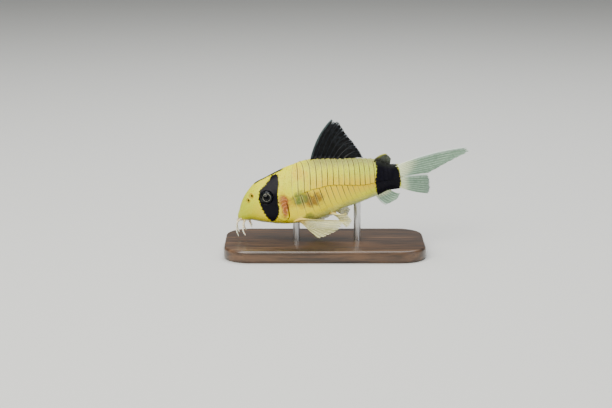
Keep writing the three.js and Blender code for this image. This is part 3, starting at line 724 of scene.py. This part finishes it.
eyeLook = {
    "pupil": 0.74,
    "ring": 0.84,
    "iris": (0.003, 0.0035, 0.005),
    "streak": (0.014, 0.016, 0.02),
    "dark": (0.0015, 0.0015, 0.002),
    "paleGlintRing": (0.20, 0.20, 0.16),
    "sockets": {"Roughness": 0.1, "IOR": 1.34, "Coat Weight": 0.16, "Coat Roughness": 0.02,
                "Specular IOR Level": 0.16},
}


def eyeFinish():
    look = eyeLook
    finish = startFinish("wetEye", look["sockets"])
    r = markValue(finish, "fromAxis")
    streaks = grain(finish, 3200, 2, 0.5)
    tone = coat(look["iris"], look["streak"], ramp(streaks, 0.45, 0.7, 0, 0.8))
    # painted glint: a thin pale ring round the pupil, broken by the streaks
    glintRingOn = times(ramp(r, look["pupil"] + 0.02, look["pupil"] + 0.12),
                   ramp(r, look["ring"] + 0.14, look["ring"] + 0.02),
                   ramp(streaks, 0.36, 0.58, 0.12, 1))
    tone = coat(tone, look["dark"], ramp(r, look["pupil"] + 0.06, look["pupil"] - 0.02))
    feed("Base Color", coat(tone, look["paleGlintRing"], glintRingOn))
    return finish


def makeEye(word, turn, finish):
    middle, out = eyes[turn]
    bpy.ops.mesh.primitive_uv_sphere_add(segments=64, ring_count=40, radius=1)
    ball = named(f"eyeball_{word}")
    editAll()
    bpy.ops.transform.resize(value=(eye["radius"], eye["radius"], eye["radius"] * eye["dome"]))
    bpy.ops.object.mode_set(mode="OBJECT")
    mesh = ball.data
    flat = np.empty(len(mesh.vertices) * 3)
    mesh.vertices.foreach_get("co", flat)
    local = flat.reshape(-1, 3)
    fromAxis = np.hypot(local[:, 0], local[:, 1])
    bulge = eye["bulge"] * (1 - ease(fromAxis, *eye["bulgeFade"])) * (local[:, 2] > 0)
    local[:, 2] += bulge  # the clear dome over the pupil
    along = unit(np.cross(out, (0, 0, 1.0)))
    placed = middle + local @ np.array((along, np.cross(out, along), out))
    mesh.vertices.foreach_set("co", toScene(placed).ravel())
    addMark(mesh, "fromAxis", fromAxis)
    editAll()
    bpy.ops.mesh.normals_make_consistent(inside=False)
    bpy.ops.object.mode_set(mode="OBJECT")
    bpy.ops.object.shade_smooth()
    settle(ball, finish, "eye", f"eye_{word}")


wetEye = eyeFinish()
for word, turn in sides.items():
    makeEye(word, turn, wetEye)
print("the eyes are set")

# fins: a thin web over rays that stand up on both faces

plainFin = {  # what a fin's own dictionary doesn't change; lip and fork are in ray spacings, the rest in mm
    "rays": 9, "rows": 64, "columnsPerRay": 16,
    "lip": (0.14, 0.08),  # web before the first ray and behind the last
    "sunk": -0.06,  # share of its length that the root goes into the body
    "fork": 0.2,  # how far a soft ray's two halves part
    "forkStart": (0.45, 0.85), "unevenReach": 0.012, "notch": 0.045, "wave": 0.12, "joints": 22,
    "jointDepth": 0.22, "rayWidth": 0.12, "rayHeight": 0.17, "spineWidth": 0.26, "spineHeight": 0.0,
    "web": 0.07, "flesh": 0.3, "taper": 0.55,
}


def spreadFin(name, shape, guides=None):
    # Each guide is a ray's root, middle and tip; the rays between the guides follow smoothly.
    look = {**plainFin, **shape}
    guides = guides or middleGuides(shape)
    rays, sunk = look["rays"], look["sunk"]
    across = np.linspace(-look["lip"][0], rays - 1 + look["lip"][1], (rays - 1) * look["columnsPerRay"] + 5)
    t = np.concatenate([[sunk], np.linspace(sunk, 1, look["rows"]), [1.0]])[:, None]
    out01 = np.clip(t, 0, 1)
    u = across / (rays - 1)
    roots, middles, tips = (throughPoints([g[k] for g in guides], u)[None] for k in range(3))
    rng = np.random.default_rng(look["seed"])

    # soft rays fork once on their way out, and the web is notched between their tips
    nearest = np.clip(np.round(across), 0, rays - 1).astype(int)
    soft = nearest > 0
    off = np.abs(across - nearest)[None]
    apart = np.abs(off - look["fork"] * ease(t, *look["forkStart"]) * soft)
    tipRay = np.maximum(bell(np.abs(off - look["fork"] * soft), 0, 0.13), 0.6 * (off < 0.2))
    reach = (1 + rng.normal(0, look["unevenReach"], rays))[nearest] * (1 - look["notch"] * (1 - tipRay))
    tt = (t * np.where(t > 0, reach, 1))[..., None]

    place = roots * (1 - tt) * (1 - 2 * tt) + middles * 4 * tt * (1 - tt) + tips * tt * (2 * tt - 1)
    out = unit(np.cross(np.gradient(place[1:-1], axis=0), np.gradient(place[1:-1], axis=1)), 1e-12)
    out = np.concatenate([out[:1], out, out[-1:]])
    wave = look["wave"] * np.sin(across * 0.9 + t * 3.1 + look["seed"]) * ease(t, 0.1, 1)
    place = place + out * wave[..., None]

    # half the fin's thickness
    spacing = np.linalg.norm(np.gradient(place, axis=1), axis=-1) / np.gradient(across)[None]
    thin = 1 - look["taper"] * out01
    joints = 1 - look["jointDepth"] * bell((t * look["joints"]) % 1, 0.5, 0.18) * ease(t, 0.22, 0.35)
    ray = bell(apart * spacing, 0, look["rayWidth"] * (0.6 + 0.4 * thin)) * joints
    spine = ~soft * bell(off * spacing, 0, look["spineWidth"] * thin)
    half = look["web"] + look["rayHeight"] * ray * thin + look["spineHeight"] * spine * thin
    half = half + look["flesh"] * bell(out01, 0, 0.07)
    for inwards in (across - across[0], across[-1] - across):
        half = half * (0.25 + 0.75 * ease(inwards, 0, 0.1))
    half = half * (1 - 0.6 * ease(t, 0.93, 1))
    half[0] = half[-1] = 0

    def bothFaces(near, other):
        return np.concatenate([near, other[:, ::-1], near[:, :1]], 1)

    points = bothFaces(place + out * half[..., None], place - out * half[..., None])
    marks = {"ray": np.maximum(ray, spine), "toTip": out01, "acrossFin": u[None]}
    for word, values in marks.items():
        values = np.broadcast_to(np.clip(values, 0, 1), half.shape)
        marks[word] = bothFaces(values, values)
    return drapeGrid(name, points, marks, 60)


def middleGuides(shape):  # x, z and any y in the fish's middle, which the tail's swing bends
    def place(x, z, y=0.0):
        return (x, y + float(swing(x)), z)
    return [[place(*spot) for spot in row] for row in shape["guides"]]


def onBack(s):  # a root a little inside the back
    return (s, float(back(s)) - 0.25)


def onBelly(s):
    return (s, float(belly(s)) + 0.25)


plainFinLook = {  # what a fin's own colours don't change; clear is how solid the web and the rays are
    "rootEnd": 0.16, "edgeWidth": 0.12, "edgeLow": 1.0, "edgeAmount": 0.8, "tipStart": 0.8, "tipAmount": 0.8,
    "clear": (0.86, 0.98),
}
finSockets = {
    "Roughness": 0.3, "IOR": 1.36, "Coat Weight": 0.05, "Coat Roughness": 0.15, "Specular IOR Level": 0.18,
    "Subsurface Weight": 0.1, "Subsurface Radius": (1.0, 0.9, 0.7), "Subsurface Scale": 0.0004,
}


def finFinish(name, colours):
    look = {**plainFinLook, **colours}
    finish = startFinish(name, finSockets)
    ray, toTip, across = (markValue(finish, word) for word in ("ray", "toTip", "acrossFin"))
    mottle = grain(finish, 1500, 3, 0.55)

    def layer(tone, word, *amounts):
        return coat(tone, look[word], times(*amounts))

    tone = layer(look["web"], "ray", ramp(ray, 0.15, 0.75))
    tone = layer(tone, "haze", ramp(mottle, 0.45, 0.68), ramp(toTip, 0.2, 0.9, 0.25, 0.8))
    tone = layer(tone, "tip", ramp(toTip, look["tipStart"], 0.98), ramp(ray, 0.25, 0.6), look["tipAmount"])
    fromFront = sums("ADD", across, times(mottle, 0.08))
    tone = layer(tone, "edge", ramp(fromFront, look["edgeWidth"] + 0.04, 0.06, 0, look["edgeAmount"]),
                 ramp(toTip, 0.0, 0.9, look["edgeLow"], 1.0))
    tone = layer(tone, "root", ramp(toTip, look["rootEnd"], 0.02, 0, 0.9))
    feed("Base Color", tone)
    solid = sums("MAXIMUM", ramp(ray, 0.1, 0.7), ramp(toTip, 0.14, 0.0))
    feed("Alpha", ramp(solid, 0, 1, *look["clear"]))
    bumps(mottle, 0.00002, 0.35)
    return finish


blackFin = finFinish("blackFin", {
    "web": (0.0015, 0.0016, 0.002), "ray": (0.007, 0.009, 0.012), "haze": (0.012, 0.015, 0.019),
    "tip": (0.42, 0.46, 0.50), "edge": (0.085, 0.12, 0.125), "root": (0.010, 0.009, 0.007),
    "edgeLow": 0.5, "edgeWidth": 0.05, "tipAmount": 0.9, "tipStart": 0.9, "rootEnd": 0.08,
    "clear": (0.985, 1.0),
})
milkyFin = finFinish("milkyFin", {
    "web": (0.21, 0.34, 0.24), "ray": (0.38, 0.52, 0.40), "haze": (0.16, 0.26, 0.19),
    "tip": (0.46, 0.56, 0.49), "edge": (0.62, 0.74, 0.68), "root": (0.86, 0.92, 0.60), "rootEnd": 0.34,
})
yellowFin = finFinish("yellowFin", {
    "web": (0.56, 0.56, 0.26), "ray": (0.74, 0.70, 0.34), "haze": (0.60, 0.60, 0.32),
    "tip": (0.76, 0.76, 0.52), "edge": (0.74, 0.66, 0.24), "root": (0.72, 0.50, 0.08), "rootEnd": 0.35,
    "clear": (0.5, 0.93),
})
smokyFin = finFinish("smokyFin", {
    "web": (0.05, 0.06, 0.04), "ray": (0.07, 0.08, 0.055), "haze": (0.11, 0.13, 0.12),
    "tip": (0.22, 0.24, 0.16), "edge": (0.42, 0.42, 0.07), "root": (0.006, 0.006, 0.006),
    "edgeAmount": 0.9, "edgeWidth": 0.3, "edgeLow": 0.3, "rootEnd": 0.5, "clear": (0.9, 0.98),
})

dorsal = {
    "spineHeight": 0.26, "spineWidth": 0.34, "seed": 3, "joints": 20, "notch": 0.022,
    "guides": [
        (onBack(18.4), (20.9, 11.85), (24.3, 15.45)),
        (onBack(20.6), (23.0, 11.3), (25.95, 14.6)),
        (onBack(22.6), (24.8, 9.8), (27.5, 11.5)),
        (onBack(24.5), (26.8, 8.2), (29.25, 8.6)),
        (onBack(27.0), (28.7, 6.05), (30.4, 5.75))],
}
adipose = {
    "rays": 4, "fork": 0, "rayHeight": 0.0, "spineHeight": 0.34, "spineWidth": 0.42,
    "notch": 0.0, "wave": 0.03, "rows": 40, "seed": 2, "web": 0.1,
    "guides": [
        (onBack(32.8), (34.35, 5.65), (35.75, 5.8)),
        (onBack(34.6), (35.4, 5.15), (36.3, 5.15)),
        (onBack(36.2), (36.5, 4.2), (36.75, 4.4))],
}
anal = {
    "rays": 7, "seed": 9, "joints": 12, "rows": 48,
    "guides": [
        (onBelly(32.1), (33.1, -5), (34.3, -6)),
        (onBelly(33.8), (35.2, -4.4), (36.7, -5.1)),
        (onBelly(35.4), (36.6, -3.5), (37.8, -3.9))],
}
tailRoot = 38.05
upperLobe = {
    "seed": 4, "joints": 30, "rows": 84, "rayWidth": 0.13, "wave": 0.16,
    "guides": [
        ((tailRoot, 2.75), (46.4, 4.15), (54.7, 4.1)),
        ((tailRoot, 1.95), (46.2, 2.75), (54.2, 2.95)),
        ((tailRoot, 1.1), (44.4, 1.25), (50.2, 1.7)),
        ((tailRoot, 0.1), (41.8, 0), (45.2, -0.2))],
}
lowerLobe = {  # curls to the right
    "seed": 4, "joints": 18, "rows": 72, "rayWidth": 0.13,
    "guides": [
        ((tailRoot, -0.05), (41.6, -0.2, 0.05), (44.8, -0.7, 0.4)),
        ((tailRoot, -1.05), (41.7, -1.75, 0.7), (44.9, -2.6, 2)),
        ((tailRoot, -1.85), (41.7, -3.1, 1), (44.9, -4.4, 3.1)),
        ((tailRoot, -2.6), (41.3, -4.3, 1), (44.6, -5.7, 3.2))],
}
pectoral = {  # paired fins: the root's place and degrees round the body, then x, off to the side, z
    "spineHeight": 0.24, "spineWidth": 0.36, "seed": 6, "joints": 16,
    "pairs": [
        ((13.3, -22), (19.2, 7.7, -5.6), (24.7, 8.7, -6.3)),
        ((13.6, -30), (18.4, 7.7, -6.5), (23.6, 9.2, -7.3)),
        ((13.9, -38), (17.4, 7.1, -7.3), (21.2, 9, -8.6)),
        ((14.2, -46), (16.1, 6.2, -8), (18, 8.2, -9.6))],
}
pelvic = {
    "rays": 7, "seed": 8, "joints": 12, "rows": 48,
    "pairs": [
        ((21, -48), (23.1, 4.4, -5.6), (25, 5.4, -5.4)),
        ((21.6, -57), (23.6, 4.4, -6.7), (25.9, 5.9, -7.1)),
        ((22.2, -66), (23.4, 4.1, -7.3), (24.7, 5.8, -8.6))],
}
pairedRootDepth = 0.3


def pairedGuides(shape, side):
    return [(tuple(skinPoint(s, radians(degrees), side, -pairedRootDepth)),
             *((x, side * y, z) for x, y, z in places)) for (s, degrees), *places in shape["pairs"]]


settle(spreadFin("dorsalFin", dorsal), blackFin, "dark_fin", "dorsal_fin")
settle(spreadFin("adiposeFin", adipose), smokyFin, "clear_fin", "adipose_fin")
settle(spreadFin("analFin", anal), milkyFin, "clear_fin", "anal_fin")
settle(spreadFin("tailFinUpper", upperLobe), milkyFin, "clear_fin", "caudal_fin_upper")
settle(spreadFin("tailFinLower", lowerLobe), milkyFin, "clear_fin", "caudal_fin_lower")
for word, side in sides.items():
    for kind, shape in (("pectoral", pectoral), ("pelvic", pelvic)):
        fin = spreadFin(f"{kind}Fin_{word}", shape, pairedGuides(shape, side))
        settle(fin, yellowFin, "clear_fin", f"{kind}_fin_{word}")
print("the fins are spread")

# barbels

barbels = {  # places from root to tip on the fish's right, and the tip's radius
    "upper": ([(1.3, 0.9, -4.1), (-0.1, 1.8, -4.6), (-0.6, 2.1, -6.4), (-0.35, 2.1, -8.05)], 0.12),
    "lower": ([(1.7, 1.1, -4.3), (1.1, 2.2, -5.4), (0.9, 2.7, -6.7), (1.3, 2.9, -7.9)], 0.12),
    "chin": ([(2.6, 0.5, -4.4), (2.6, 0.8, -5.5), (2.9, 0.95, -6.6)], 0.13),
}
barbelShape = {"rootRadius": 0.30, "taper": 0.8, "rings": 60, "around": 17, "wrinkle": 0.04, "wrinkles": 70,
               "roundedTip": 0.05}
barbelLook = {
    "root": (0.66, 0.55, 0.32),
    "tip": (0.80, 0.76, 0.62),
    "spots": (0.40, 0.30, 0.16),
    "sockets": {"Roughness": 0.35, "IOR": 1.4, "Coat Weight": 0.4, "Coat Roughness": 0.15,
                "Subsurface Weight": 0.3, "Subsurface Radius": (1.0, 0.6, 0.4), "Subsurface Scale": 0.0005},
}


def barbelFinish():
    finish = startFinish("softBarbel", barbelLook["sockets"])
    mottle = grain(finish, 2200, 3, 0.6)
    toTip = ramp(markValue(finish, "toTip"), 0.1, 0.7)
    tone = coat(barbelLook["root"], barbelLook["tip"], toTip)
    tone = coat(tone, barbelLook["spots"], ramp(mottle, 0.55, 0.72, 0, 0.5))
    feed("Base Color", tone)
    bumps(mottle, 0.00003, 0.4)
    return finish


def drawBarbel(name, places, tipRadius, side):
    shape = barbelShape
    t = np.linspace(0, 1, shape["rings"])
    path = throughPoints([(x, side * y, z) for x, y, z in places], t)
    run = unit(np.gradient(path, axis=0))
    first = unit(np.cross(run, (0, 1.0, 0)))
    second = np.cross(run, first)
    turn = np.linspace(0, 2 * np.pi, shape["around"])
    radius = shape["rootRadius"] + (tipRadius - shape["rootRadius"]) * t ** shape["taper"]
    radius *= 1 + shape["wrinkle"] * np.sin(t * shape["wrinkles"])
    radius *= np.sqrt(np.clip((1 - t) / shape["roundedTip"], 0, 1))
    radius[0] = 0
    spoke = np.cos(turn)[None, :, None] * first[:, None] + np.sin(turn)[None, :, None] * second[:, None]
    points = path[:, None] + spoke * radius[:, None, None]
    return drapeGrid(name, points, {"toTip": np.repeat(t[:, None], len(turn), 1)}, 60)


softBarbel = barbelFinish()
for spot, (places, tipRadius) in barbels.items():
    for word, side in sides.items():
        feeler = drawBarbel(f"barbel_{spot}_{word}Skin", places, tipRadius, side)
        settle(feeler, softBarbel, "barbel", f"barbel_{spot}_{word}")
print("the barbels hang from the mouth")

# display base and rods

stand = {"long": 0.046, "wide": 0.024, "high": 0.0028, "corner": 0.006, "cornerSteps": 14,
         "edge": 0.0006, "edgeSteps": 4, "rodRadius": 0.0008, "rodSides": 40,
         "rods": {"front": -0.0065, "rear": 0.0075},
         "intoBase": 0.0008, "overBelly": 0.0012, "intoBelly": 0.0002}
wood = {
    "dark": (0.030, 0.016, 0.009),
    "light": (0.13, 0.066, 0.030),
    "pore": (0.012, 0.007, 0.004),
    "sockets": {"Roughness": 0.35, "Coat Weight": 0.35, "Coat Roughness": 0.2, "IOR": 1.5},
}
steel = {
    "dark": (0.52, 0.53, 0.54),
    "light": (0.70, 0.70, 0.70),
    "sockets": {"Metallic": 1.0, "Roughness": 0.3, "Base Color": (0.62, 0.63, 0.64, 1), "Anisotropic": 0.4},
}


def woodFinish():
    finish = startFinish("darkWood", wood["sockets"])
    rings = grain(finish, 160, 5, 0.6, (0.35, 3.2, 3.2))
    pores = grain(finish, 900, 3, 0.6, (0.12, 3.0, 3.0))
    tone = coat(wood["dark"], wood["light"], ramp(rings, 0.35, 0.68))
    tone = coat(tone, wood["pore"], ramp(pores, 0.56, 0.70, 0, 0.7))
    feed("Base Color", tone)
    feed("Roughness", ramp(rings, 0.3, 0.7, 0.28, 0.42))
    bumps(pores, 0.00004, 0.3)
    return finish


def steelFinish():
    finish = startFinish("brushedRod", steel["sockets"])
    brush = grain(finish, 3000, 3, 0.6, (1, 1, 0.05))
    feed("Roughness", ramp(brush, 0.3, 0.7, 0.22, 0.4))
    feed("Base Color", coat(steel["dark"], steel["light"], ramp(brush, 0.35, 0.65)))
    return finish


def roundEdges(mesh, width, steps, wanted):  # bevels the edges that are wanted, told by where their ends lie
    bpy.ops.mesh.select_mode(type="EDGE")
    bpy.ops.mesh.select_all(action="DESELECT")
    bpy.ops.object.mode_set(mode="OBJECT")
    for edge in mesh.edges:
        a, b = (mesh.vertices[i].co for i in edge.vertices)
        edge.select = wanted(abs(a.z - b.z))
    bpy.ops.object.mode_set(mode="EDIT")
    bpy.ops.mesh.bevel(offset=width, segments=steps, affect="EDGES")


def makeBase():
    bpy.ops.mesh.primitive_cube_add(size=1)
    base = named("displayBase")
    editAll()
    bpy.ops.transform.resize(value=(stand["long"], stand["wide"], stand["high"]))
    bpy.ops.transform.translate(value=(0, 0, stand["high"] / 2))
    roundEdges(base.data, stand["corner"], stand["cornerSteps"], lambda rise: rise > stand["high"] / 2)
    roundEdges(base.data, stand["edge"], stand["edgeSteps"], lambda rise: rise < 1e-6)
    endEdit(40)
    return base


def bellyOver(x):  # the belly's height over the ground at a place along the base, in metres
    dx, _, dz = pose["shift"]
    c, sn = cos(pose["noseDown"]), sin(pose["noseDown"])
    s = x * 1000 - dx
    for _ in range(6):
        s = (x * 1000 - dx + float(belly(s)) * sn) / c
    return (dz + s * sn + float(belly(s)) * c) / 1000


def makeRod(word, x):
    foot, top = stand["high"] - stand["intoBase"], bellyOver(x) + stand["overBelly"]
    sides, radius = stand["rodSides"], stand["rodRadius"]
    bpy.ops.mesh.primitive_cylinder_add(vertices=sides, radius=radius, depth=top - foot)
    rod = named(f"displayRod_{word}")
    editAll()
    bpy.ops.transform.translate(value=(x, 0, (top + foot) / 2))
    slope = (bellyOver(x + 0.001) - bellyOver(x - 0.001)) / 0.002
    cut = (x, 0, bellyOver(x) + stand["intoBelly"])
    bpy.ops.mesh.bisect(plane_co=cut, plane_no=(-slope, 0, 1), clear_outer=True, use_fill=True)
    endEdit(40)
    return rod


settle(makeBase(), woodFinish(), "stand_base", "stand_base")
brushedSteel = steelFinish()
for word, x in stand["rods"].items():
    settle(makeRod(word, x), brushedSteel, "stand_rod", f"stand_rod_{word}")
print("the fish stands on its base")
